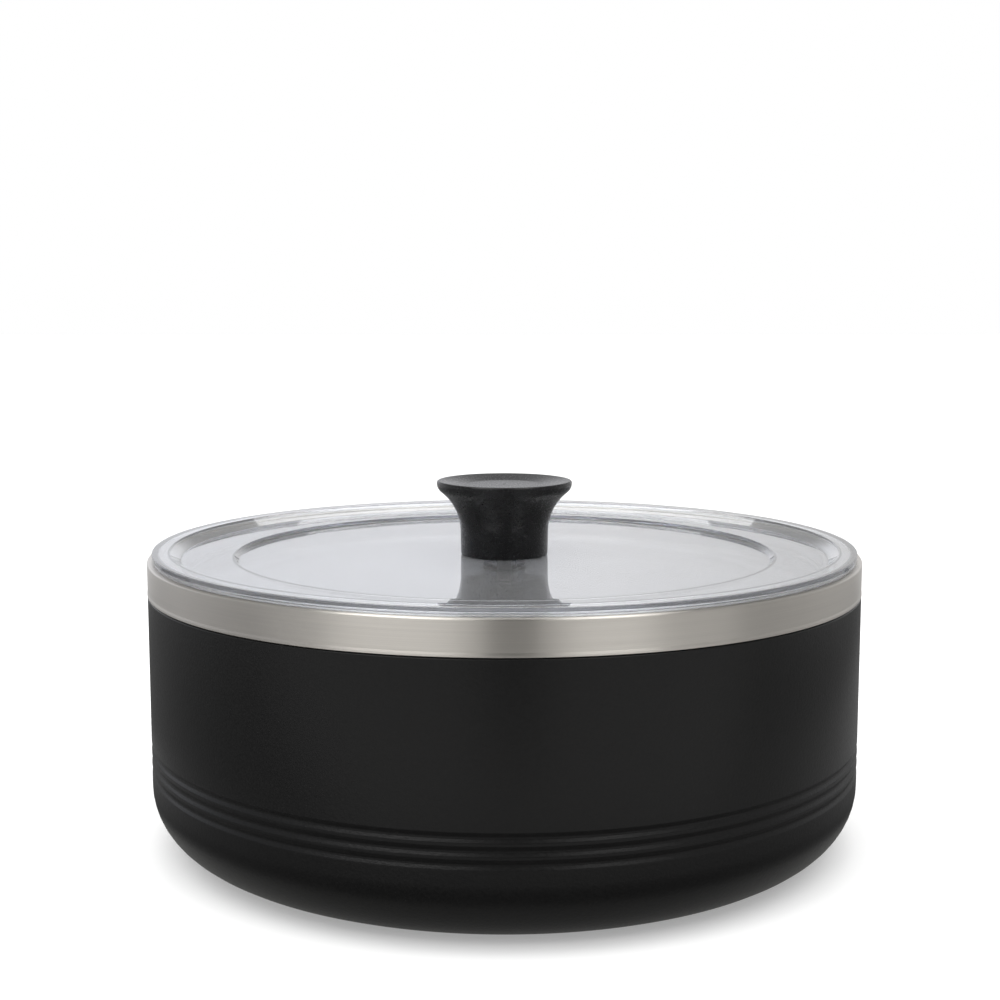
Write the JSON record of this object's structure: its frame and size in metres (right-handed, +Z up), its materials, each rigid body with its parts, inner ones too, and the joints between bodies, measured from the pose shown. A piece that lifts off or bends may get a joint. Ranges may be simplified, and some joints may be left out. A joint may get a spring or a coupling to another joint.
{
  "type": "insulated chapati casserole",
  "caption": "Round double-walled casserole that keeps flatbreads warm: black outer shell, steel rim band and liner, clear stepped lift-off lid with a flared knob.",
  "frame": {"origin": "centre of the foot ring's underside, where the casserole stands", "axes": "+Z up along the axis of pot and lid; the object is turned about +Z, so X and Y are free, and -Y faces the picture's viewpoint"},
  "size_m": [0.2404, 0.2404, 0.1204],
  "materials": {
    "black_powder_coat": "satin",
    "stainless_liner": "satin",
    "brushed_stainless": "satin",
    "grey_silicone": "matte",
    "rigid_foam": "matte",
    "black_base": "satin",
    "black_plastic": "matte",
    "black_silicone": "matte",
    "clear_plastic": "gloss",
    "milky_silicone": "satin",
    "knob_black": "satin",
    "brass_insert": "satin",
    "stainless_screw": "satin"
  },
  "bodies": {
    "pot": {"outer_shell": "black_powder_coat", "inner_vessel": "stainless_liner", "rim_band": "brushed_stainless", "rim_seal": "grey_silicone", "foam_insulation": "rigid_foam", "base_plate": "black_base", "foam_plug": "black_plastic", "foot_ring": "black_silicone"},
    "lid": {"lid_top_panel": "clear_plastic", "lid_inner_panel": "clear_plastic", "lid_seal": "milky_silicone", "knob": "knob_black", "knob_seal": "grey_silicone", "knob_insert": "brass_insert", "knob_screw": "stainless_screw", "screw_washer": "stainless_screw", "screw_seal": "milky_silicone"}
  },
  "joints": [
    {"name": "lid_lift", "type": "slide", "parent": "pot", "child": "lid", "axis": [0, 0, 1], "range_m": [0, 0.12]}
  ]
}
